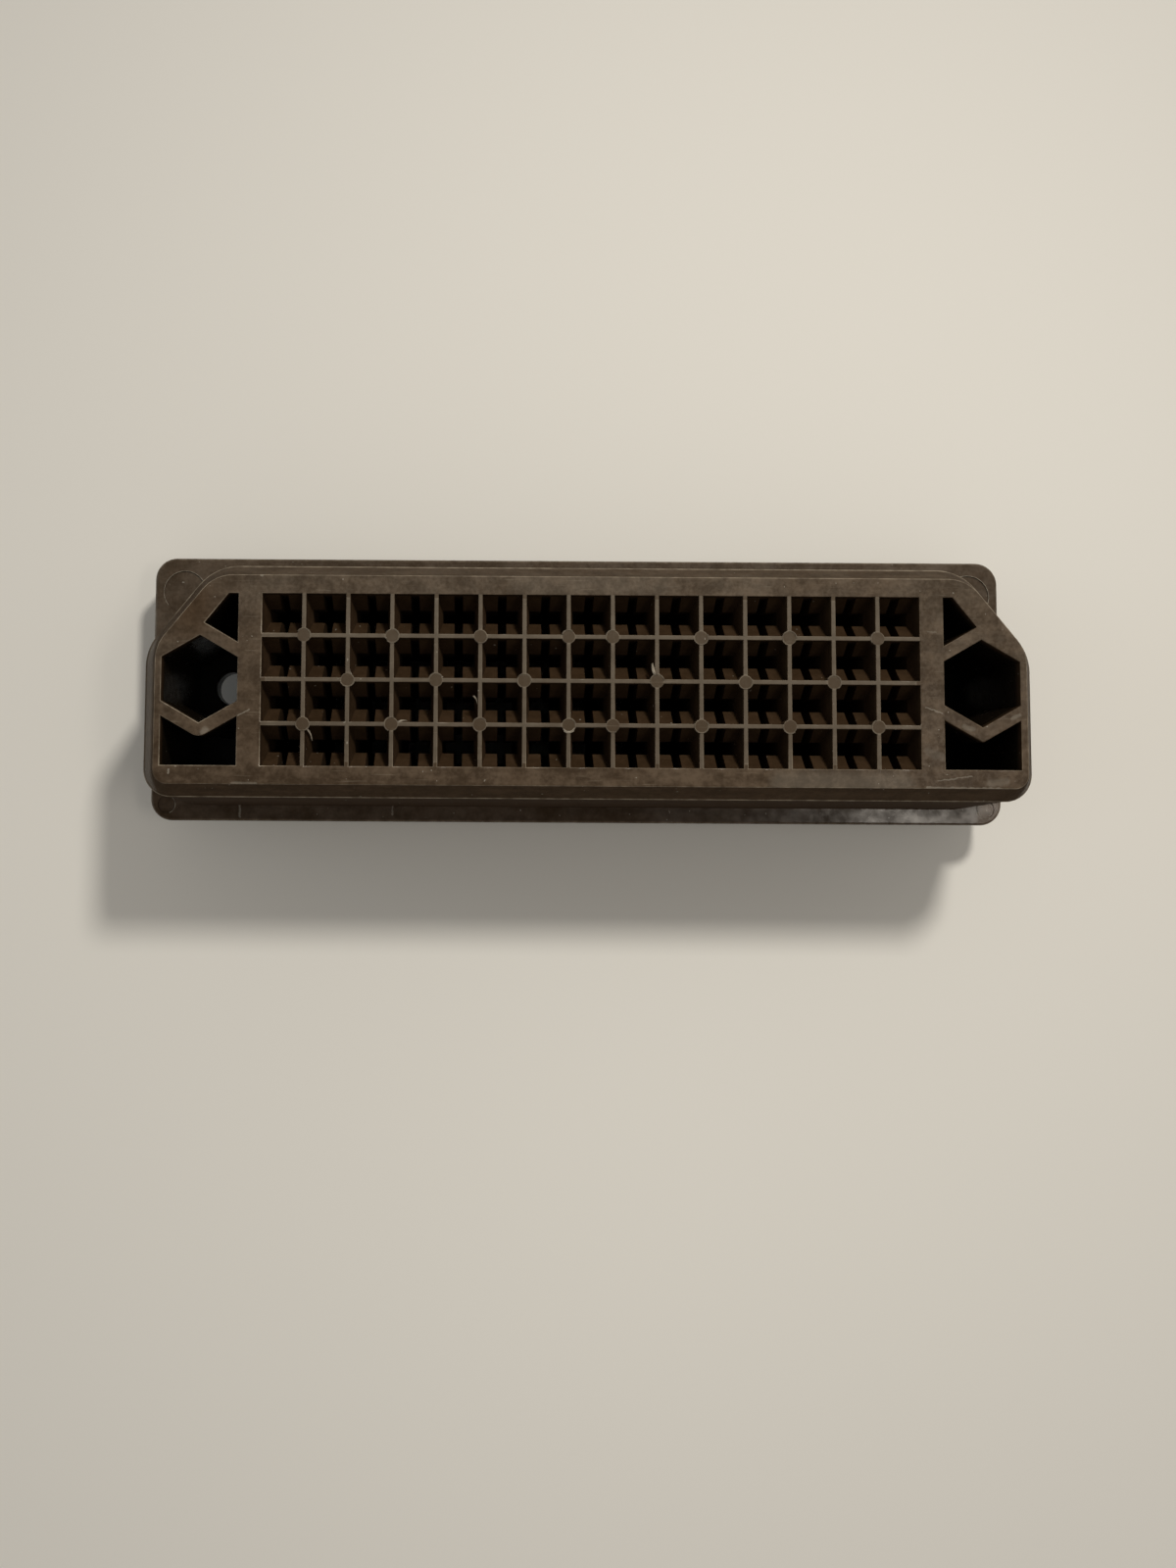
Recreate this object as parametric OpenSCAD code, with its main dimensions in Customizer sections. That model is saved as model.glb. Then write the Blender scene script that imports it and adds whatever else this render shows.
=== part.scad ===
// Rack connector housing: one moulded block with a grid of empty contact cavities,
// a hexagonal hardware pocket at each end and a mounting flange behind the nose.
// Millimetres. Origin at the centre of the rear face, +Z towards the mating face,
// +X along the housing, +Y towards the keyed side with the cut corners.

/* [Contact grid] */
// Cavities along the housing
columns = 15; // [6:1:24]
// Cavities across the housing
rows = 4; // [3:1:6]
// Distance between the centres of neighbouring cavities
pitch = 3.81; // [3.6:0.01:4.4]
// Thickness of the ribs between cavity mouths
rib = 0.38; // [0.3:0.01:0.6]
// Depth at which the lead-in ramps leave the mouth walls
ramp_start = 1.2; // [0.6:0.1:1.8]
// Depth at which the lead-in ramps reach the contact slot
ramp_end = 2.8; // [2.2:0.1:4]
// Slot length along the housing
slot_x = 2.79; // [2:0.01:3]
// Slot width across the housing
slot_y = 1.15; // [0.8:0.01:1.6]
// Width of the keyway that crosses the slot from rib to rib
keyway = 0.76; // [0.5:0.01:1]
// Side of the square cavity that a contact is pushed into from the rear
rear_cavity = 3; // [2.4:0.05:3.2]
// Depth of that rear cavity
rear_cavity_depth = 12; // [6:0.5:18]

/* [Rib pads] */
// Radius of the round ejector pads on the rib crossings
pad_r = 0.6; // [0.45:0.01:0.8]
// Depth of the pads below the mating face
pad_depth = 3; // [1:0.1:4]

/* [End pockets] */
// Hexagon pocket across flats
hex_af = 6.55; // [5:0.05:8]
// Wall around the hexagon
hex_wall = 1.13; // [0.8:0.01:1.5]
// Bar between the contact grid and the end pockets
bar = 2.06; // [1.2:0.01:3]
// Rim outside the end pockets, at the mating face
rim = 0.56; // [0.5:0.01:2]
// Wall between the rear pocket and the cut corner, at the mating face
corner_wall = 2; // [1:0.05:3]
// Radius on the tip of the left chevron wall
left_tip_r = 1.1; // [0.1:0.05:1.6]
// Radius on the tip of the right chevron wall
right_tip_r = 0.2; // [0.1:0.05:1.6]
// Radius of the screw hole in each pocket floor
screw_r = 1.62; // [1:0.01:2.2]

/* [Nose] */
// Height of the nose above the flange
nose_h = 17.4; // [12:0.1:24]
// Wall beside the contact grid, at the mating face
side_wall = 1.6; // [1:0.05:3]
// Height of the bevel round the mating face
bevel_h = 3.4; // [1:0.1:5]
// Run of that bevel at the two ends
bevel_end = 1.5; // [0.3:0.05:3]
// Run of that bevel along the two sides
bevel_side = 1.14; // [0.3:0.01:3]
// Draft of the nose wall below the bevel, in degrees
draft = 4.9; // [1:0.1:8]
// Cut corner along the housing, at the mating face
cut_x = 5; // [2:0.1:7]
// Cut corner across the housing, at the mating face
cut_y = 6.2; // [2:0.1:7]
// Radius of the square corners at the mating face
front_r = 1.2; // [0.5:0.1:3]
// Radius of the cut corners at the mating face
cut_r = 3.4; // [1:0.1:5]

/* [Flange] */
// Thickness of the flange
flange_t = 2.5; // [1.5:0.1:4]
// Ledge of the flange outside the nose at the two ends
ledge_end = 1.35; // [0.6:0.05:4]
// Ledge of the flange outside the nose along the two sides
ledge_side = 1.53; // [0.6:0.01:4]
// Corner radius of the flange
flange_r = 2.1; // [1:0.1:4]
// Radius of the ejector marks in the keyed corners
mark_r = 2.07; // [1:0.01:2.4]
// Radius of the ejector marks in the square corners
small_mark_r = 0.85; // [0.5:0.01:1]
// Depth of the ejector marks
mark_depth = 0.12; // [0.05:0.01:0.4]
// Distance from the large ejector marks to the flange's end edge
mark_end = 0.85; // [0.3:0.05:1.2]
// Distance from the large ejector marks to the flange's side edge
mark_side = 1.25; // [0.3:0.05:1.6]
// Distance from the small ejector marks to both edges
small_mark_edge = 0.71; // [0.3:0.01:0.9]

/* [Rear block] */
// Height of the rear block behind the flange
rear_h = 5; // [2:0.5:10]
// Chamfer round the rear edge, which leads the block into the panel
rear_lead = 0.4; // [0.2:0.05:0.8]

/* [Hidden] */
housing_colour = [0.3, 0.26, 0.22];
// Overshoot that lets a cut leave a face cleanly
over = 0.5;
// Thickness of the thin discs that the nose is drawn over
disc = 0.02;
arc_steps = 64;

flange_top = rear_h + flange_t;
shoulder_z = flange_top + nose_h - bevel_h;
top_z = flange_top + nose_h;
mouth = pitch - rib;
grid_x = columns * pitch - rib;
grid_y = rows * pitch - rib;

pocket_in = grid_x / 2 + bar;
pocket_out = pocket_in + hex_af;
hex_x = pocket_in + hex_af / 2;
pocket_y = grid_y / 2;
// Distance from a hexagon's centre to its corner, over half its width across flats
corner_ratio = 1 / cos(30);

top_x = pocket_out + rim;
top_y = grid_y / 2 + side_wall;
wall_run = (nose_h - bevel_h) * tan(draft);
shoulder_x = top_x + bevel_end;
shoulder_y = top_y + bevel_side;
foot_x = shoulder_x + wall_run;
foot_y = shoulder_y + wall_run;
flange_x = foot_x + ledge_end;
flange_y = foot_y + ledge_side;

// Outward normal of the cut corner, and its distance from the origin at the mating face
cut_n = [cut_y, cut_x] / norm([cut_y, cut_x]);
cut_c = cut_n * [top_x, top_y - cut_y];

// Centres of the cavities and of the rib lines between them
function column_x(i) = (i - (columns - 1) / 2) * pitch;
function row_y(j) = (j - (rows - 1) / 2) * pitch;
function rib_x(i) = (i - columns / 2) * pitch;
function rib_y(j) = (j - rows / 2) * pitch;

// Pads stand on every second crossing, mirrored about the middle of the housing
function has_pad(i, j) = (min(i, columns - i) + j) % 2 == 0;

// Mouth, ramps and slot of one cavity as a section, z measured from the mating face
function funnel(slot) = let (
    slope = (mouth - slot) / 2 / (ramp_end - ramp_start),
    tip = max(slot / 2 - slope * over / 2, slot / 4),
    tip_depth = ramp_end + (slot / 2 - tip) / slope
) [
    [-mouth / 2, over], [-mouth / 2, -ramp_start], [-tip, -tip_depth],
    [tip, -tip_depth], [mouth / 2, -ramp_start], [mouth / 2, over]
];

// Six discs that carry the nose outline at one height: two square corners, two cut ones
module outline_discs(x, y, cut_out, r_front, r_cut, z, h) {
    c = cut_c + cut_out - r_cut;
    low = [x - r_cut, (c - cut_n.x * (x - r_cut)) / cut_n.y];
    high = [(c - cut_n.y * (y - r_cut)) / cut_n.x, y - r_cut];
    for (side = [-1, 1]) {
        translate([side * (x - r_front), r_front - y, z])
            cylinder(r = r_front, h = h, $fn = arc_steps);
        translate([side * low.x, low.y, z])
            cylinder(r = r_cut, h = h, $fn = arc_steps);
        translate([side * high.x, high.y, z])
            cylinder(r = r_cut, h = h, $fn = arc_steps);
    }
}

// Drafted nose: foot in the flange, shoulder under the bevel, mating face
module nose() {
    cut_foot = bevel_side + wall_run;
    hull() {
        outline_discs(foot_x, foot_y, cut_foot, front_r + cut_foot, cut_r + cut_foot,
            flange_top - flange_t / 2, flange_t / 2);
        outline_discs(shoulder_x, shoulder_y, bevel_side, front_r + bevel_side,
            cut_r + bevel_side, shoulder_z - disc, disc);
        outline_discs(top_x, top_y, 0, front_r, cut_r, top_z - disc, disc);
    }
}

module flange() {
    translate([0, 0, rear_h])
        linear_extrude(flange_t)
            rounded_plate(flange_x, flange_y, flange_r);
}

module rounded_plate(x, y, r) {
    square([2 * x, 2 * (y - r)], center = true);
    square([2 * (x - r), 2 * y], center = true);
    for (sx = [-1, 1], sy = [-1, 1])
        translate([sx * (x - r), sy * (y - r)])
            circle(r, $fn = arc_steps);
}

// Section of the rear block: chamfered at the rear, sunk half way into the flange
function rear_section(half) = let (sunk = rear_h + flange_t / 2) [
    [rear_lead - half, 0], [half - rear_lead, 0], [half, rear_lead],
    [half, sunk], [-half, sunk], [-half, rear_lead]
];

// Block on the wire side, which passes through the panel
module rear_block() {
    intersection() {
        rotate([90, 0, 90])
            linear_extrude(2 * pocket_in, center = true)
                polygon(rear_section(top_y));
        rotate([90, 0, 0])
            linear_extrude(2 * top_y, center = true)
                polygon(rear_section(pocket_in));
    }
}

// Square mouths with ramps on all four sides: long grooves along and across, intersected
module lead_ins() {
    intersection() {
        for (j = [0 : rows - 1])
            translate([-grid_x / 2, row_y(j), top_z])
                rotate([90, 0, 90])
                    linear_extrude(grid_x)
                        polygon(funnel(slot_y));
        for (i = [0 : columns - 1])
            translate([column_x(i), grid_y / 2, top_z])
                rotate([90, 0, 0])
                    linear_extrude(grid_y)
                        polygon(funnel(slot_x));
    }
}

// Cross-shaped contact slot of one cavity
module cross() {
    sx = slot_x / 2;
    sy = slot_y / 2;
    k = keyway / 2;
    m = mouth / 2;
    polygon([
        [-sx, -sy], [-k, -sy], [-k, -m], [k, -m], [k, -sy], [sx, -sy],
        [sx, sy], [k, sy], [k, m], [-k, m], [-k, sy], [-sx, sy]
    ]);
}

module at_cavities() {
    for (i = [0 : columns - 1], j = [0 : rows - 1])
        translate([column_x(i), row_y(j)])
            children();
}

module contact_slots() {
    translate([0, 0, rear_cavity_depth])
        linear_extrude(top_z - ramp_start - rear_cavity_depth)
            at_cavities()
                cross();
}

module rear_cavities() {
    translate([0, 0, -over])
        linear_extrude(rear_cavity_depth + over)
            at_cavities()
                square(rear_cavity, center = true);
}

module rib_pads() {
    for (i = [1 : columns - 1], j = [1 : rows - 1])
        if (has_pad(i, j))
            translate([rib_x(i), rib_y(j), top_z - pad_depth])
                cylinder(r = pad_r, h = pad_depth, $fn = arc_steps);
}

// Hexagon with a corner on the Y axis, grown by a wall
module hexagon(wall) {
    rotate(90)
        circle((hex_af / 2 + wall) * corner_ratio, $fn = 6);
}

// Wall round the hexagon, with its front corner cut off where the tip's arc meets the sides
module chevron(tip_r) {
    reach = (hex_af / 2 + hex_wall) * corner_ratio;
    centre = reach - tip_r * corner_ratio;
    flat = centre + tip_r * cos(30);
    difference() {
        hexagon(hex_wall);
        translate([-reach, -2 * reach])
            square([2 * reach, 2 * reach - flat]);
    }
    translate([0, -centre])
        circle(tip_r, $fn = arc_steps);
}

// Everything outside the right cut corner, moved inwards by a wall
module beyond_cut(wall) {
    far = top_x + top_y;
    rotate(atan2(cut_n.y, cut_n.x))
        translate([cut_c - wall, -far])
            square([far, 2 * far]);
}

// Front and rear pockets of the right end, either side of the hexagon's wall
module side_pockets(tip_r) {
    difference() {
        translate([pocket_in, -pocket_y])
            square([hex_af, 2 * pocket_y]);
        beyond_cut(corner_wall);
        translate([hex_x, 0])
            chevron(tip_r);
    }
}

module end_pockets(tip_r) {
    translate([0, 0, flange_top]) {
        linear_extrude(nose_h + over)
            side_pockets(tip_r);
        linear_extrude(nose_h + over)
            translate([hex_x, 0])
                hexagon(0);
    }
}

module screw_holes() {
    for (side = [-1, 1])
        translate([side * hex_x, 0, rear_h - over])
            cylinder(r = screw_r, h = flange_t + 2 * over, $fn = arc_steps);
}

// Shallow round marks in the flange's four corners
module ejector_marks() {
    large = [flange_x - mark_end - mark_r, flange_y - mark_side - mark_r];
    small = [flange_x, flange_y] - (small_mark_edge + small_mark_r) * [1, 1];
    for (side = [-1, 1]) {
        translate([side * large.x, large.y, flange_top - mark_depth])
            cylinder(r = mark_r, h = mark_depth + over, $fn = arc_steps);
        translate([side * small.x, -small.y, flange_top - mark_depth])
            cylinder(r = small_mark_r, h = mark_depth + over, $fn = arc_steps);
    }
}

module housing() {
    color(housing_colour) {
        difference() {
            union() {
                difference() {
                    flange();
                    ejector_marks();
                }
                nose();
                rear_block();
            }
            lead_ins();
            contact_slots();
            rear_cavities();
            end_pockets(right_tip_r);
            mirror([1, 0, 0])
                end_pockets(left_tip_r);
            screw_holes();
        }
        rib_pads();
    }
}

housing();
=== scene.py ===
import math
import random

import bmesh
import bpy
from mathutils import Matrix, Vector


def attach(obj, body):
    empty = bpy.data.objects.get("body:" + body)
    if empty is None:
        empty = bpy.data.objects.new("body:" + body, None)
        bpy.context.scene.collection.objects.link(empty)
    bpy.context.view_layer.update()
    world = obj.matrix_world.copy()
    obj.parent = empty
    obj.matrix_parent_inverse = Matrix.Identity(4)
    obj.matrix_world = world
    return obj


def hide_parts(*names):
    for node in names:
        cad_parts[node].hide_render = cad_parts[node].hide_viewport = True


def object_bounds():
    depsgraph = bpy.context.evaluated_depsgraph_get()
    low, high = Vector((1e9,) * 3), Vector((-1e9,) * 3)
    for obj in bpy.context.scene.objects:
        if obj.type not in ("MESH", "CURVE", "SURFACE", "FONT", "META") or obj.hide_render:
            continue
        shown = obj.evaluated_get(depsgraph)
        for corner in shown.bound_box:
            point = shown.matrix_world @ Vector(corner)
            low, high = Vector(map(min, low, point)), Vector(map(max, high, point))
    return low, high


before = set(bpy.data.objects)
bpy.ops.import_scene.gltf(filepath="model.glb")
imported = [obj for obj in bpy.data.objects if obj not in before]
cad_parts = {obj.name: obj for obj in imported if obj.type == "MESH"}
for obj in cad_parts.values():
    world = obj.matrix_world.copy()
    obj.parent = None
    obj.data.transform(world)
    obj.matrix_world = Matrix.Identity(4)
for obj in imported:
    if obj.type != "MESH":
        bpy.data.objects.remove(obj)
cadLow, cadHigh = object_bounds()
mm = 0.001
print("frame loaded, box in mm:", [round(v / mm, 2) for v in (*cadLow, *cadHigh)])


class Wire:
    # a node socket that can be added, multiplied and so on; each sum becomes a Math node
    def __init__(self, tree, socket=None):
        self.tree = tree
        self.socket = socket

    def add(self, kind, settings=None, inputs=None, out=0):
        node = self.tree.nodes.new(kind)
        for name, value in (settings or {}).items():
            setattr(node, name, value)
        for name, value in (inputs or {}).items():
            self.feed(node.inputs[name], value)
        return Wire(self.tree, node.outputs[out])

    def feed(self, socket, value):
        if isinstance(value, Wire):
            self.tree.links.new(value.socket, socket)
        else:
            socket.default_value = value

    def beside(self, out):
        return Wire(self.tree, self.socket.node.outputs[out])

    def maths(self, operation, *values):
        return self.add("ShaderNodeMath", {"operation": operation}, dict(enumerate(values)))

    def vector(self, operation, first, second, out="Vector"):
        slot = "Scale" if operation == "SCALE" else 1
        return self.add("ShaderNodeVectorMath", {"operation": operation}, {0: first, slot: second}, out)

    def __add__(self, other):
        return self.maths("ADD", self, other)

    def __sub__(self, other):
        return self.maths("SUBTRACT", self, other)

    def __rsub__(self, other):
        return self.maths("SUBTRACT", other, self)

    def __mul__(self, other):
        return self.maths("MULTIPLY", self, other)

    def __abs__(self):
        return self.maths("ABSOLUTE", self)

    def over(self, low, high, curve="SMOOTHSTEP"):
        # 0 below low, 1 above high, smooth between; low above high turns it round
        settings = {"interpolation_type": curve}
        ends = {"Value": self, "From Min": min(low, high), "From Max": max(low, high)}
        ends.update({"To Min": float(low > high), "To Max": float(low < high)})
        return self.add("ShaderNodeMapRange", settings, ends)

    def lift(self, least, rise):
        # least where this mask is 0, and rise more where it is 1
        return self * rise + least

    def tint(self, base, colour):
        # base turned into colour where this mask is 1
        inputs = {0: self, 6: base, 7: colour}
        return self.add("ShaderNodeMix", {"data_type": "RGBA"}, inputs, out=2)

    __radd__ = __add__
    __rmul__ = __mul__


def newMaterial(name):
    material = bpy.data.materials.new(name)
    material.use_nodes = True
    return material, Wire(material.node_tree), material.node_tree.nodes["Principled BSDF"]


def makePiece(name, bm, material):
    mesh = bpy.data.meshes.new(name)
    for face in bm.faces:
        face.smooth = True
    bm.to_mesh(mesh)
    bm.free()
    mesh.materials.append(material)
    piece = bpy.data.objects.new(name, mesh)
    bpy.context.scene.collection.objects.link(piece)
    return piece


# brown moulded plastic: painted shade in the pockets and on steep walls, a painted sheen towards the
# back and painted highlights on edges, rubbed and dusty on the mating face
plastic = {
    # painted shade: this colour stands in for the shade deep in the pockets
    "pocketShade": (0.012, 0.0085, 0.005, 1),
    "steep": (0.018, 0.0080, 0.0025, 1),
    "deep": (0.036, 0.0208, 0.0098, 1),
    "brown": (0.058, 0.0345, 0.0182, 1),
    "dull": (0.041, 0.0265, 0.0152, 1),
    "rubbed": (0.099, 0.0705, 0.0470, 1),
    "ribs": (0.106, 0.086, 0.064, 1),
    "pads": (0.056, 0.0375, 0.0218, 1),
    "pale": (0.30, 0.255, 0.195, 1),
    "dust": (0.34, 0.315, 0.265, 1),
    # patterns: scale per mm, detail, stretch, turn in degrees, where each starts and is full
    "patterns": {
        "patches": (0.33, 4, (1, 1, 1), 0, 0.36, 0.68),
        "clouds": (1.1, 5, (1, 1, 1), 0, 0.30, 0.75),
        "fine": (3.2, 4, (1, 1, 1), 0, 0.30, 0.70),
        "streaks": (0.5, 4, (0.22, 1.5, 1), 4, 0.38, 0.66),
        "longHair": (0.5, 2, (0.4, 13, 1), 9, 0.67, 0.73),
        "crossHair": (0.5, 2, (0.5, 11, 1), 74, 0.70, 0.75),
        "specks": (2.6, 1, (1, 1, 1), 0, 0.765, 0.80),
    },
    "noiseRough": 0.55,
    "grain": (6.0, 2),                # scale and detail of the bump
    "grainDepth": 0.006,
    "fray": (2.2, 3),                 # the same for the ragged outlines of marks and stains
    "frayReach": 0.35,
    # soft borders: where each starts and is full, in mm from a plane or radius of the housing
    "borders": {
        "face": (-0.07, -0.01),
        "grid": (0.05, -0.03),
        "endsFrom": (9.2, 9.8),
        "endsFoot": (0.5, 1.5),
        "pocketFrom": (-0.1, 0),
        "pocketTo": (0.1, 0),
        "pocketCut": (-0.8, -1.0),
        "pocketFloor": (0.2, 0.5),
        "pocketMouth": (-0.3, -1.5),
        "ledgeTop": (0.5, 0.1),
        "ledgeFoot": (-0.4, -0.2),
        "padEdge": (-0.02, -0.10),
        "rimInside": (-0.12, -0.04),
        "rimOutside": (0.10, 0.02),
    },
    "endsFront": (4.5, 3),            # the handled part of both ends, along Y
    "rise": (0.1, 0.3),               # how far a normal rises where a surface faces up
    # layers: how much of each shows
    "mottle": {"patches": 0.25, "clouds": 0.35, "streaks": 0.20, "fine": 0.20},
    "mottleRange": (0.1, 0.9),
    "steepShadeShare": 0.5,                 # painted shade on steep walls, which get less light
    # share of that painted shade which the ramps in the cells are spared
    "rampsSpared": 0.6,
    "faceRub": 0.8,
    "slopeRub": 0.2,
    "ribCover": (0.7, 0.3),           # the least share, and what the clouds add
    "padCover": 0.9,
    "padRimCover": 0.3,
    "hairCover": 0.16,
    "wearAndGlintCover": (0.15, 0.35),
    "speckCover": 0.5,
    "backSheen": 0.07,                  # share of painted sheen on the keyed side, in the dust colour
    "sheenRun": (-9, 9),               # the painted sheen grows towards it, in mm along Y
    "sheenLeast": 0.5,
    "sheenMix": {"patches": 0.5, "fine": 0.5},
    "faceRough": 0.70,
    "wallRough": 0.95,
    "pocketRough": 0.24,              # the pockets are polished by the mould's cores
    "roughSpread": 0.1,
    "specular": 0.07,
    "coatRough": 0.17,
    "endGloss": 0.22,                 # both ends are polished by handling
    "faceGloss": (0.02, 0.06),
    "flangeLeast": 0.1,
    "flangeGloss": {"patches": 0.5, "clouds": 0.4},
    "flangeRun": (-5, 25),            # the flange's gloss grows to the right, in mm along X
    "flangeRise": (0.55, 0.45),       # from this share, by that much
    "markCore": 0.3,                  # share of a mark or stain at full strength
    "stainCore": 0.2,
    # rub marks, and one broad painted sheen: from, to, half width in mm, strength, on the face or on the
    # ledge
    "marks": [
        ((-36.19, -7.79), (-36.18, -8.19), 0.10, 0.45, "face"),
        ((-30.68, -8.96), (-28.75, -9.03), 0.22, 0.22, "face"),
        ((-30.30, -3.18), (-29.35, -2.61), 0.08, 0.35, "face"),
        ((-33.30, -4.60), (-33.05, -4.40), 0.42, 0.28, "face"),
        ((28.82, -2.10), (30.25, -2.60), 0.08, 0.30, "face"),
        ((29.81, -8.39), (32.68, -7.96), 0.09, 0.25, "face"),
        ((28.83, -8.98), (35.19, -9.02), 0.13, 0.30, "face"),
        ((32.03, -3.69), (32.81, -3.99), 0.28, 0.16, "face"),
        ((36.25, -2.96), (36.88, -2.72), 0.22, 0.20, "face"),
        ((28.90, -5.90), (30.20, -6.40), 0.50, 0.09, "face"),
        ((29.05, 4.45), (29.80, 4.40), 0.10, 0.16, "face"),
        ((34.20, -8.60), (35.60, -8.40), 0.45, 0.12, "face"),
        # this broad stroke is a painted sheen on the right of the front frame
        ((16.50, -8.70), (26.50, -8.80), 1.70, 0.12, "face"),
        ((-6.00, 8.50), (6.00, 8.60), 1.60, 0.05, "face"),
        ((24.80, -7.45), (24.80, -9.10), 0.06, 0.14, "face"),
        ((-28.48, 8.98), (-28.36, 8.98), 0.16, 0.5, "face"),
        ((-32.89, -10.69), (-32.85, -12.52), 0.16, 0.40, "ledge"),
        ((-17.94, -10.78), (-17.92, -12.24), 0.10, 0.26, "ledge"),
        ((-20.92, -11.11), (-20.82, -11.11), 0.13, 0.9, "ledge"),
    ],
    # darker stains on the face: centre, radius in mm, strength
    "stains": [
        ((-34.7, 4.6), 3.0, 0.55),
        ((-31.6, 8.3), 2.6, 0.35),
        ((-34.6, 6.6), 3.6, 0.90),
        ((34.0, 6.4), 3.0, 0.2),
        ((18.0, 8.6), 3.5, 0.25),
        ((24.5, 8.6), 3.5, 0.25),
        ((-36.4, -6.0), 2.6, 0.40),
        ((-20.0, -9.0), 3.4, 0.12),
        ((-29.4, 3.0), 4.5, 0.30),
        ((-29.4, -3.5), 4.5, 0.30),
        ((-6.5, -8.1), 1.6, 0.30),
        ((2.5, -8.0), 1.3, 0.30),
        ((-3.0, 8.4), 1.8, 0.20),
        ((22.9, -8.5), 1.9, 0.35),
        ((29.3, -7.8), 0.5, 0.40),
        ((29.4, 0.6), 1.4, 0.25),
    ],
}


def plasticMaterial():
    material, wire, shader = newMaterial("brownPlastic")
    point = wire.add("ShaderNodeTexCoord", out="Object")
    place = wire.vector("SCALE", point, 1 / mm)
    x = wire.add("ShaderNodeSeparateXYZ", {}, {0: place}, "X")
    y, z = x.beside("Y"), x.beside("Z")

    def noise(scale, detail, stretch=(1, 1, 1), turn=0, out="Fac"):
        inputs = {"Vector": place, "Rotation": (0, 0, math.radians(turn)), "Scale": stretch}
        spread = wire.add("ShaderNodeMapping", {}, inputs)
        inputs = {"Vector": spread, "Scale": scale, "Detail": detail, "Roughness": plastic["noiseRough"]}
        return wire.add("ShaderNodeTexNoise", {}, inputs, out)

    def within(value, line, border):
        low, high = plastic["borders"][border]
        return value.over(line + low, line + high)

    # where on the housing a point is
    faceZ = cadHigh.z / mm
    ledgeZ = housing["flangeTop"] / mm
    lowZ = housing["flangeLow"] / mm
    gridX, gridY = (half / mm for half in housing["gridHalf"])
    pocketIn, pocketOut = (edge / mm for edge in housing["pocketSpan"])
    cutX, cutY = housing["cutNormal"]
    toCut = abs(x) * cutX + y * cutY
    face = within(z, faceZ, "face")
    inGrid = within(abs(x), gridX, "grid") * within(abs(y), gridY, "grid")
    ribs = face * inGrid
    ends = within(abs(x), gridX, "endsFrom") * y.over(*plastic["endsFront"])
    ends = ends * within(z, ledgeZ, "endsFoot") * (1 - face)
    pockets = within(abs(x), pocketIn, "pocketFrom") * within(abs(x), pocketOut, "pocketTo")
    pockets = pockets * within(abs(y), gridY, "pocketTo")
    pockets = pockets * within(toCut, housing["cutReach"] / mm, "pocketCut")
    pockets = pockets * within(z, lowZ, "pocketFloor") * within(z, faceZ, "pocketMouth")
    ledge = within(z, ledgeZ, "ledgeTop") * within(z, ledgeZ, "ledgeFoot") * (1 - pockets)
    normal = wire.add("ShaderNodeNewGeometry", out="Normal")
    upward = wire.add("ShaderNodeSeparateXYZ", {}, {0: normal}, "Z").over(*plastic["rise"])
    upward = upward * (1 - pockets) * (1 - inGrid * (1 - face))

    # round pads on every second rib crossing
    pitch = housing["pitch"] / mm
    across = housing["columns"] / 2 - abs(x) * (1 / pitch)
    along = y * (1 / pitch) + housing["rows"] / 2
    column, row = wire.maths("ROUND", across), wire.maths("ROUND", along)
    offX, offY = (across - column) * pitch, (along - row) * pitch
    fromPad = wire.maths("SQRT", offX * offX + offY * offY)
    padR = housing["padR"] / mm
    spots = ribs * (1 - wire.maths("MODULO", column + row, 2))
    pads = spots * within(fromPad, padR, "padEdge")
    padRims = spots * within(fromPad, padR, "rimInside") * within(fromPad, padR, "rimOutside")

    patterns = {}
    for name, (scale, detail, stretch, turn, low, high) in plastic["patterns"].items():
        patterns[name] = noise(scale, detail, stretch, turn).over(low, high)
    clouds, fine = patterns["clouds"], patterns["fine"]
    hair = patterns["longHair"] + patterns["crossHair"]
    wearAndGlint = wire.add("ShaderNodeAttribute", {"attribute_name": "edgeWearAndGlint"}, out="Fac")

    def blend(shares, least=0):
        return sum(patterns[name] * share for name, share in shares.items()) + least

    # rub marks, one painted sheen and stains, a little frayed
    fray = wire.vector("SUBTRACT", noise(*plastic["fray"], out="Color"), (0.5, 0.5, 0.5))
    ragged = wire.vector("ADD", place, wire.vector("SCALE", fray, plastic["frayReach"]))
    flat = wire.vector("MULTIPLY", ragged, (1, 1, 0))

    def drawMark(start, end, width, strength, level):
        first = Vector((*start, 0))
        run = Vector((*end, 0)) - first
        away = wire.vector("SUBTRACT", flat, first)
        share = wire.vector("DOT_PRODUCT", away, run / run.length_squared, "Value").over(0, 1, "LINEAR")
        gap = wire.vector("SUBTRACT", away, wire.vector("SCALE", run, share))
        near = wire.vector("LENGTH", gap, (0, 0, 0), "Value").over(width, width * plastic["markCore"])
        return near * strength * (face if level == "face" else ledge)

    marksAndSheen = drawMark(*plastic["marks"][0])
    for mark in plastic["marks"][1:]:
        marksAndSheen = wire.maths("MAXIMUM", marksAndSheen, drawMark(*mark))

    def stain(centre, radius, strength):
        apart = wire.vector("DISTANCE", flat, (*centre, 0), "Value")
        return 1 - apart.over(radius, radius * plastic["stainCore"]) * strength

    clean = stain(*plastic["stains"][0])
    for spot in plastic["stains"][1:]:
        clean = clean * stain(*spot)

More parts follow.
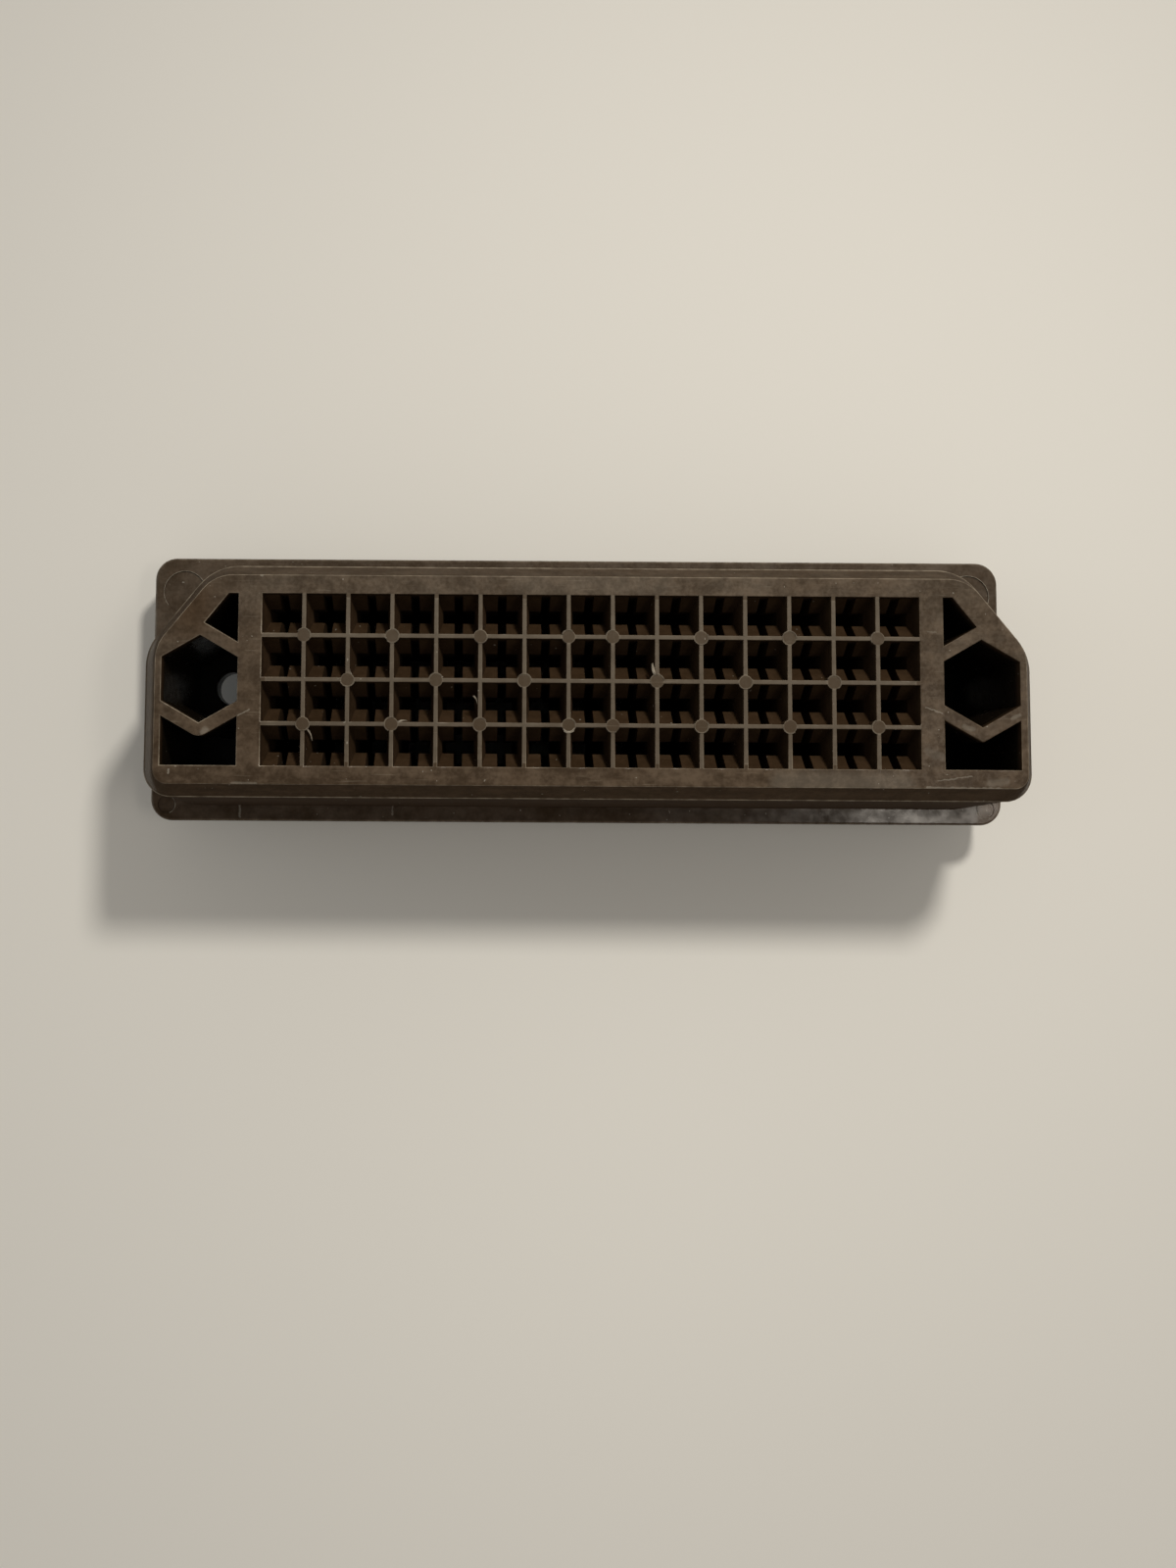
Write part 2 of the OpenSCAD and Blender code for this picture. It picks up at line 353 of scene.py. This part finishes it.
    # colour, from the bare plastic up to the dust
    mottle = blend(plastic["mottle"]).over(*plastic["mottleRange"])
    colour = mottle.tint(plastic["deep"], plastic["brown"])
    # painted shade: steep walls, the rear, the cells and the pockets are darkened where less light
    # reaches them
    steep = (1 - upward) * (1 - inGrid * plastic["rampsSpared"]) * plastic["steepShadeShare"]
    colour = pockets.tint(steep.tint(colour, plastic["steep"]), plastic["pocketShade"])
    rubbed = face * clean * plastic["faceRub"] + upward * plastic["slopeRub"]
    colour = rubbed.tint(colour, mottle.tint(plastic["dull"], plastic["rubbed"]))
    colour = (ribs * clouds.lift(*plastic["ribCover"])).tint(colour, plastic["ribs"])
    colour = (pads * plastic["padCover"]).tint(colour, plastic["pads"])
    colour = (padRims * clouds * plastic["padRimCover"]).tint(colour, plastic["pale"])
    colour = (hair * face * plastic["hairCover"]).tint(colour, plastic["pale"])
    # painted sheen: up-facing surfaces turn lighter towards the back, tinted with the dust colour
    sheenPatches = blend(plastic["sheenMix"], plastic["sheenLeast"])
    backSheen = upward * clean * y.over(*plastic["sheenRun"]) * sheenPatches
    colour = (backSheen * plastic["backSheen"]).tint(colour, plastic["dust"])
    # pale edges: wear, and painted highlights on the edges that face the light
    colour = (wearAndGlint * clouds.lift(*plastic["wearAndGlintCover"])).tint(colour, plastic["pale"])
    # rub marks lighten the face, and one broad stroke among them is painted sheen
    colour = marksAndSheen.tint(colour, plastic["dust"])
    colour = (patterns["specks"] * plastic["speckCover"]).tint(colour, plastic["dust"])
    wire.feed(shader.inputs["Base Color"], colour)

    rough = face * (plastic["faceRough"] - plastic["wallRough"]) + plastic["wallRough"]
    rough = rough + pockets * (plastic["pocketRough"] - plastic["wallRough"])
    wire.feed(shader.inputs["Roughness"], rough + (clouds - 0.5) * plastic["roughSpread"])
    wire.feed(shader.inputs["Specular IOR Level"], plastic["specular"])

    # the flange kept the gloss of the mould, in patches, and the face a little of it
    toRight = x.over(*plastic["flangeRun"]).lift(*plastic["flangeRise"])
    gloss = ledge * blend(plastic["flangeGloss"], plastic["flangeLeast"]) * toRight
    gloss = gloss + face * fine.lift(*plastic["faceGloss"]) + ends * plastic["endGloss"]
    wire.feed(shader.inputs["Coat Weight"], gloss)
    wire.feed(shader.inputs["Coat Roughness"], plastic["coatRough"])

    grain = noise(*plastic["grain"])
    bumpInputs = {"Height": grain * plastic["grainDepth"], "Distance": mm, "Strength": 1.0}
    wire.feed(shader.inputs["Normal"], wire.add("ShaderNodeBump", {}, bumpInputs))
    return material


# housing: the CAD form with its moulded edges rounded
housing = {
    "pitch": 3.81 * mm,
    "columns": 15,
    "rows": 4,
    "gridHalf": (28.385 * mm, 7.43 * mm),
    "pocketSpan": (30.445 * mm, 36.995 * mm),
    "cutNormal": (0.778, 0.628),      # across the cut corners, and how far out they lie
    "cutReach": 31.0 * mm,
    "padR": 0.6 * mm,
    "weld": 0.025 * mm,               # closes the thin bands of the drafted nose
    "flatTurn": math.radians(0.3),    # faces that turn less than this are one face
    "edgeTurn": math.radians(8),
    "creaseTurn": math.radians(10),
    "arcTurn": math.radians(30),      # upright edges that turn less lie on a round wall
    "uprightRun": 0.95,               # the run of an upright edge along Z is at least this
    "wallRise": 0.1,                  # the normal of an upright wall rises less than this
    "shoulderDrop": 3.4 * mm,
    "flangeTop": 7.5 * mm,
    "flangeLow": 5.0 * mm,
    "shallow": 0.5 * mm,              # the ejector marks are less deep than this
    "roundSteps": 2,
    "rimRound": 0.06 * mm,
    "mouthRound": 0.085 * mm,
    "shoulderRound": 0.16 * mm,
    "flangeRound": 0.22 * mm,
    "rearRound": 0.08 * mm,
    "partingRidge": 0.08 * mm,        # mould's parting line along the shoulder
    # wear and painted highlight of the edges, 1 for a plain one
    "flangeWear": 0.8,
    "rearWear": 0.4,
    "ridgeWear": (3.2, 0.3),          # along both sides, and round the ends
    "straightFrom": 8 * mm,           # the sides of the shoulder lie beyond this
    "rimWearAndGlint": (2.5, 0.7),            # painted highlight and wear on the keyed half and at the right, and elsewhere
    "glintFrom": 24 * mm,              # the front rim gets a painted glint from here to the right
    "wornAndLitSide": Vector((0.55, 0.80, 0.30)),  # mouth edges that turn this way, towards the light, get the most painted highlight and wear
    "mouthPaleLeast": 0.25,
    "ribSpan": (28.2 * mm, 7.3 * mm),  # mouth edges to the left or in front of it get more painted highlight and wear
    "leftWearAndGlint": 4,
    "frontWearAndGlint": 2,
}


def levelEdges(bm, z):
    found = []
    for edge in bm.edges:
        if not edge.is_convex or any(abs(v.co.z - z) > housing["weld"] for v in edge.verts):
            continue
        if edge.calc_face_angle() > housing["edgeTurn"]:
            found.append(edge)
    return found


def leansOut(edge):
    # true where the wall below a mating face edge is the drafted outside
    return min(f.normal.z for f in edge.link_faces) > housing["wallRise"]


def wallDepth(edge):
    # how far the upright wall beside a level edge reaches, or 0 where there is none
    wall = min(edge.link_faces, key=lambda f: abs(f.normal.z))
    heights = [v.co.z for v in wall.verts]
    return max(heights) - min(heights) if abs(wall.normal.z) < housing["wallRise"] else 0


def roundEdges(bm, edges, width, worn=1):
    # rounds edges, marks the crest of each with its level of wear and painted highlight and gives the
    # crest's vertices back
    wearAndGlint = bm.verts.layers.float["edgeWearAndGlint"]
    made = bmesh.ops.bevel(
        bm, geom=edges, offset=width, offset_type="OFFSET", segments=housing["roundSteps"],
        profile=0.5, affect="EDGES", material=-1, loop_slide=False, clamp_overlap=False,
    )
    fresh = set(made["faces"])
    crest = [v for v in made["verts"] if fresh.issuperset(v.link_faces)]
    for v in crest:
        v[wearAndGlint] = worn
    return crest


def markCreases(bm):
    for edge in bm.edges:
        turn = edge.calc_face_angle()
        along = (edge.verts[1].co - edge.verts[0].co).normalized()
        onArc = abs(along.z) > housing["uprightRun"] and turn < housing["arcTurn"]
        edge.smooth = turn < housing["creaseTurn"] or onArc


def makeHousing(material):
    bm = bmesh.new()
    bm.from_mesh(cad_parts["housing"].data)
    bmesh.ops.remove_doubles(bm, verts=bm.verts, dist=housing["weld"])
    bmesh.ops.dissolve_limit(bm, angle_limit=housing["flatTurn"], verts=bm.verts, edges=bm.edges)
    markCreases(bm)
    bm.verts.layers.float.new("edgeWearAndGlint")

    rimEdges = [e for e in levelEdges(bm, cadHigh.z) if leansOut(e)]
    rims = roundEdges(bm, rimEdges, housing["rimRound"])
    mouthEdges = [e for e in levelEdges(bm, cadHigh.z) if not leansOut(e)]
    mouths = roundEdges(bm, mouthEdges, housing["mouthRound"])
    for z in (housing["flangeTop"], housing["flangeLow"]):
        deepEdges = [e for e in levelEdges(bm, z) if wallDepth(e) > housing["shallow"]]
        roundEdges(bm, deepEdges, housing["flangeRound"], housing["flangeWear"])
    roundEdges(bm, levelEdges(bm, cadLow.z), housing["rearRound"], housing["rearWear"])

    shoulderZ = cadHigh.z - housing["shoulderDrop"]
    ridge = roundEdges(bm, levelEdges(bm, shoulderZ), housing["shoulderRound"])
    bm.normal_update()
    wearAndGlint = bm.verts.layers.float["edgeWearAndGlint"]
    most, least = housing["ridgeWear"]
    for v in ridge:
        v.co += v.normal * housing["partingRidge"]
        v[wearAndGlint] = most if abs(v.co.y) > housing["straightFrom"] else least
    # painted highlights and wear on the rims and mouth edges, most on those facing the light
    most, least = housing["rimWearAndGlint"]
    for v in rims:
        v[wearAndGlint] = most if v.co.y > 0 or v.co.x > housing["glintFrom"] else least
    ribX, ribY = housing["ribSpan"]
    for v in mouths:
        v[wearAndGlint] = max(housing["mouthPaleLeast"], v.normal.dot(housing["wornAndLitSide"]))
        if v.co.x < -ribX:
            v[wearAndGlint] *= housing["leftWearAndGlint"]
        elif v.co.y < -ribY:
            v[wearAndGlint] *= housing["frontWearAndGlint"]
    piece = makePiece("housingShell", bm, material)
    piece.modifiers.new("flatFaces", "WEIGHTED_NORMAL").keep_sharp = True
    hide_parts("housing")
    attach(piece, "root")
    return piece


brown = plasticMaterial()
shell = makeHousing(brown)
print("housing rounded:", len(shell.data.polygons), "faces")


# flash: thin raised arcs that the ejector pins left round the pads
flash = {
    "seed": 11,
    "wire": 0.06 * mm,                # radius of the bead
    "sides": 6,
    "sweep": (100, 260),              # degrees, drawn for each pad
    "stepTurn": 12,
    "fewestSteps": 3,
}


def padCentres():
    pitch, columns, rows = housing["pitch"], housing["columns"], housing["rows"]
    return [
        Vector(((i - columns / 2) * pitch, (j - rows / 2) * pitch, cadHigh.z))
        for i in range(1, columns) for j in range(1, rows)
        if (min(i, columns - i) + j) % 2 == 0
    ]


def addArc(bm, centre, radius, start, sweep, wire):
    # a thin round bead, spun about an upright axis and closed at both ends
    turn = Matrix.Rotation(start, 4, "Z")
    upright = Matrix.Translation((radius, 0, 0)) @ Matrix.Rotation(math.pi / 2, 4, "X")
    ring = bmesh.ops.create_circle(
        bm, segments=flash["sides"], radius=wire, matrix=Matrix.Translation(centre) @ turn @ upright)
    edges = list(dict.fromkeys(e for v in ring["verts"] for e in v.link_edges))
    steps = max(flash["fewestSteps"], round(math.degrees(sweep) / flash["stepTurn"]))
    spun = bmesh.ops.spin(
        bm, geom=ring["verts"] + edges, cent=centre, axis=(0, 0, 1), angle=sweep, steps=steps)
    last = [g for g in spun["geom_last"] if isinstance(g, bmesh.types.BMEdge)]
    bmesh.ops.contextual_create(bm, geom=edges)
    bmesh.ops.contextual_create(bm, geom=last)


def makeFlash(material):
    draw = random.Random(flash["seed"])
    bm = bmesh.new()
    for centre in padCentres():
        start = draw.uniform(0, 2 * math.pi)
        sweep = math.radians(draw.uniform(*flash["sweep"]))
        addArc(bm, centre, housing["padR"], start, sweep, flash["wire"])
    bmesh.ops.recalc_face_normals(bm, faces=bm.faces)
    piece = makePiece("padFlash", bm, material)
    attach(piece, "root")


# paler flash: slivers, heavier arcs at one pad and the raised rims of the ejector marks
slivers = {
    # slivers that still hang on the ribs: root, tip and width in mm
    "curls": [
        ((-24.55, -4.13), (-23.95, -5.30), 0.20),
        ((5.82, 0.42), (5.34, 1.58), 0.52),
        ((-10.10, -1.34), (-9.76, -2.05), 0.16),
        ((-20.62, 0.45), (-20.75, 0.95), 0.14),
        ((-16.60, -3.70), (-15.78, -3.50), 0.24),
        ((-12.75, 0.25), (-13.05, 0.55), 0.16),
    ],
    "thick": 0.05 * mm,
    "droop": 0.35 * mm,
    "bow": 0.12,
    "taper": 0.75,
    "steps": 8,
    # arcs at the edge of a pad: centre, radius in mm, start and sweep in degrees
    "arcs": [
        ((-1.905, -3.81), 0.56, 215, 120),
        ((-1.905, -3.81), 0.64, 230, 85),
    ],
    # rims of the ejector marks on the flange: the same
    "rings": [
        ((-38.665, 9.575), 2.08, -30, 250),
        ((38.665, 9.575), 2.08, -40, 250),
        ((-40.045, -11.34), 0.86, -70, 130),
        ((40.045, -11.34), 0.86, 60, 240),
    ],
    "ringWire": 0.035 * mm,
    "colour": (0.31, 0.27, 0.21, 1),
    "rough": 0.5,
    "cloud": {"Scale": 2.0 / mm, "Detail": 3},
    "cloudRange": (0.3, 0.7),
}


def sliverMaterial():
    material, wire, shader = newMaterial("paleFlash")
    point = wire.add("ShaderNodeTexCoord", out="Object")
    cloud = wire.add("ShaderNodeTexNoise", {}, {"Vector": point, **slivers["cloud"]})
    colour = cloud.over(*slivers["cloudRange"]).tint(plastic["ribs"], slivers["colour"])
    wire.feed(shader.inputs["Base Color"], colour)
    wire.feed(shader.inputs["Roughness"], slivers["rough"])
    return material


def addSliver(bm, root, tip, width):
    # a flat strip, tapered to its tip, bowed sideways and drooping
    a, b = (Vector((*p, 0)) * mm for p in (root, tip))
    run = b - a
    side = Vector((-run.y, run.x, 0))
    strip = bmesh.ops.create_grid(bm, x_segments=slivers["steps"], y_segments=1, size=0.5)["verts"]
    for v in strip:
        share, edge = v.co.x + 0.5, v.co.y
        bow = math.sin(share * math.pi) * slivers["bow"]
        half = edge * width * mm * (1 - slivers["taper"] * share)
        v.co = a + run * share + side * bow + side.normalized() * half
        v.co.z = cadHigh.z - slivers["droop"] * share ** 2
    faces = list(dict.fromkeys(f for v in strip for f in v.link_faces))
    bmesh.ops.solidify(bm, geom=faces, thickness=slivers["thick"])


def makeSlivers(material):
    bm = bmesh.new()
    for curl in slivers["curls"]:
        addSliver(bm, *curl)
    beads = [(*arc, cadHigh.z, flash["wire"]) for arc in slivers["arcs"]]
    beads += [(*ring, housing["flangeTop"], slivers["ringWire"]) for ring in slivers["rings"]]
    for (x, y), radius, start, sweep, z, wire in beads:
        centre = Vector((x * mm, y * mm, z))
        addArc(bm, centre, radius * mm, math.radians(start), math.radians(sweep), wire)
    bmesh.ops.recalc_face_normals(bm, faces=bm.faces)
    piece = makePiece("flashSlivers", bm, material)
    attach(piece, "root")


makeFlash(brown)
makeSlivers(sliverMaterial())
print("flash arcs and slivers made")


# floor and light
stage = {
    "floorSize": 3.0,
    "floor": (0.79, 0.775, 0.735, 1),
    "floorRough": 0.9,
    "floorSpecular": 0.1,
    "keyFrom": Vector((0.20, 0.44, 0.85)),
    "keyDistance": 0.26,
    "keySize": 0.028,
    "keyAim": Vector((0.006, -0.050, 0)),
    "keySpread": math.radians(117),
    "keyPower": 0.147,
    "keyColour": (1.0, 0.95, 0.86),
    "panelAt": Vector((0.187, -0.03, 0.50)),
    "panelSize": (0.12, 0.044),       # long across the view
    "panelPower": 0.18,
    "panelColour": (1.0, 0.92, 0.81),
    "windowAt": Vector((-0.70, 0.05, 0.26)),
    "windowSize": (0.5, 0.35),
    "windowPower": 0.45,
    "windowColour": (0.68, 0.86, 1.0),
    "ambient": (1.0, 0.94, 0.86, 1),
    "ambientFront": 0.265,            # the room is darker towards the viewer
    "ambientBack": 0.395,
}


def areaLight(name, at, power, colour, size, target=Vector((0, 0, 0)), spread=math.pi):
    data = bpy.data.lights.new(name, "AREA")
    data.spread = spread
    data.energy = power
    data.color = colour
    if isinstance(size, tuple):
        data.shape = "RECTANGLE"
        data.size, data.size_y = size
    else:
        data.shape = "DISK"
        data.size = size
    light = bpy.data.objects.new(name, data)
    light.location = at
    light.rotation_euler = (target - at).to_track_quat("-Z", "Y").to_euler()
    bpy.context.scene.collection.objects.link(light)


def makeStage():
    material, wire, shader = newMaterial("paleFloor")
    wire.feed(shader.inputs["Base Color"], stage["floor"])
    wire.feed(shader.inputs["Roughness"], stage["floorRough"])
    wire.feed(shader.inputs["Specular IOR Level"], stage["floorSpecular"])
    bm = bmesh.new()
    bmesh.ops.create_grid(bm, x_segments=1, y_segments=1, size=stage["floorSize"])
    bmesh.ops.translate(bm, verts=bm.verts, vec=(0, 0, cadLow.z))
    makePiece("floor", bm, material)

    keyAt = stage["keyFrom"] * stage["keyDistance"]
    areaLight("keyLight", keyAt, stage["keyPower"], stage["keyColour"], stage["keySize"],
              stage["keyAim"], stage["keySpread"])
    areaLight("topPanel", stage["panelAt"], stage["panelPower"], stage["panelColour"],
              stage["panelSize"])
    areaLight("coolWindow", stage["windowAt"], stage["windowPower"], stage["windowColour"],
              stage["windowSize"])

    world = bpy.data.worlds.new("softAmbient")
    world.use_nodes = True
    wire = Wire(world.node_tree)
    sky = world.node_tree.nodes["Background"]
    wire.feed(sky.inputs["Color"], stage["ambient"])
    towards = wire.add("ShaderNodeTexCoord", out="Generated")
    toBack = wire.add("ShaderNodeSeparateXYZ", {}, {0: towards}, "Y").over(-1, 1, "LINEAR")
    front, back = stage["ambientFront"], stage["ambientBack"]
    wire.feed(sky.inputs["Strength"], toBack.lift(front, back - front))
    bpy.context.scene.world = world


makeStage()
print("floor and lights set")


# camera: fitted to the ribs, pockets and rims in the photo's 1200 x 1600 frame
view = {
    "frame": (1200, 1600),
    "focalPixels": 1440,
    "principal": (485.0, 675.7),
    "location": Vector((-9.990, -7.004, 146.151)) * mm,
    "turn": (4.039, -0.044, 0.366),   # degrees
    "sensor": 36,
    "clipStart": 0.01,
}


def makeCamera():
    width, height = view["frame"]
    data = bpy.data.cameras.new("photoView")
    data.sensor_width = view["sensor"]
    data.lens = view["focalPixels"] / height * data.sensor_width
    data.shift_x = (width / 2 - view["principal"][0]) / height
    data.shift_y = (view["principal"][1] - height / 2) / height
    data.clip_start = view["clipStart"]
    camera = bpy.data.objects.new("photoView", data)
    camera.location = view["location"]
    camera.rotation_euler = [math.radians(a) for a in view["turn"]]
    bpy.context.scene.collection.objects.link(camera)
    bpy.context.scene.camera = camera


makeCamera()
bpy.context.scene.view_settings.view_transform = "Standard"
print("camera set")
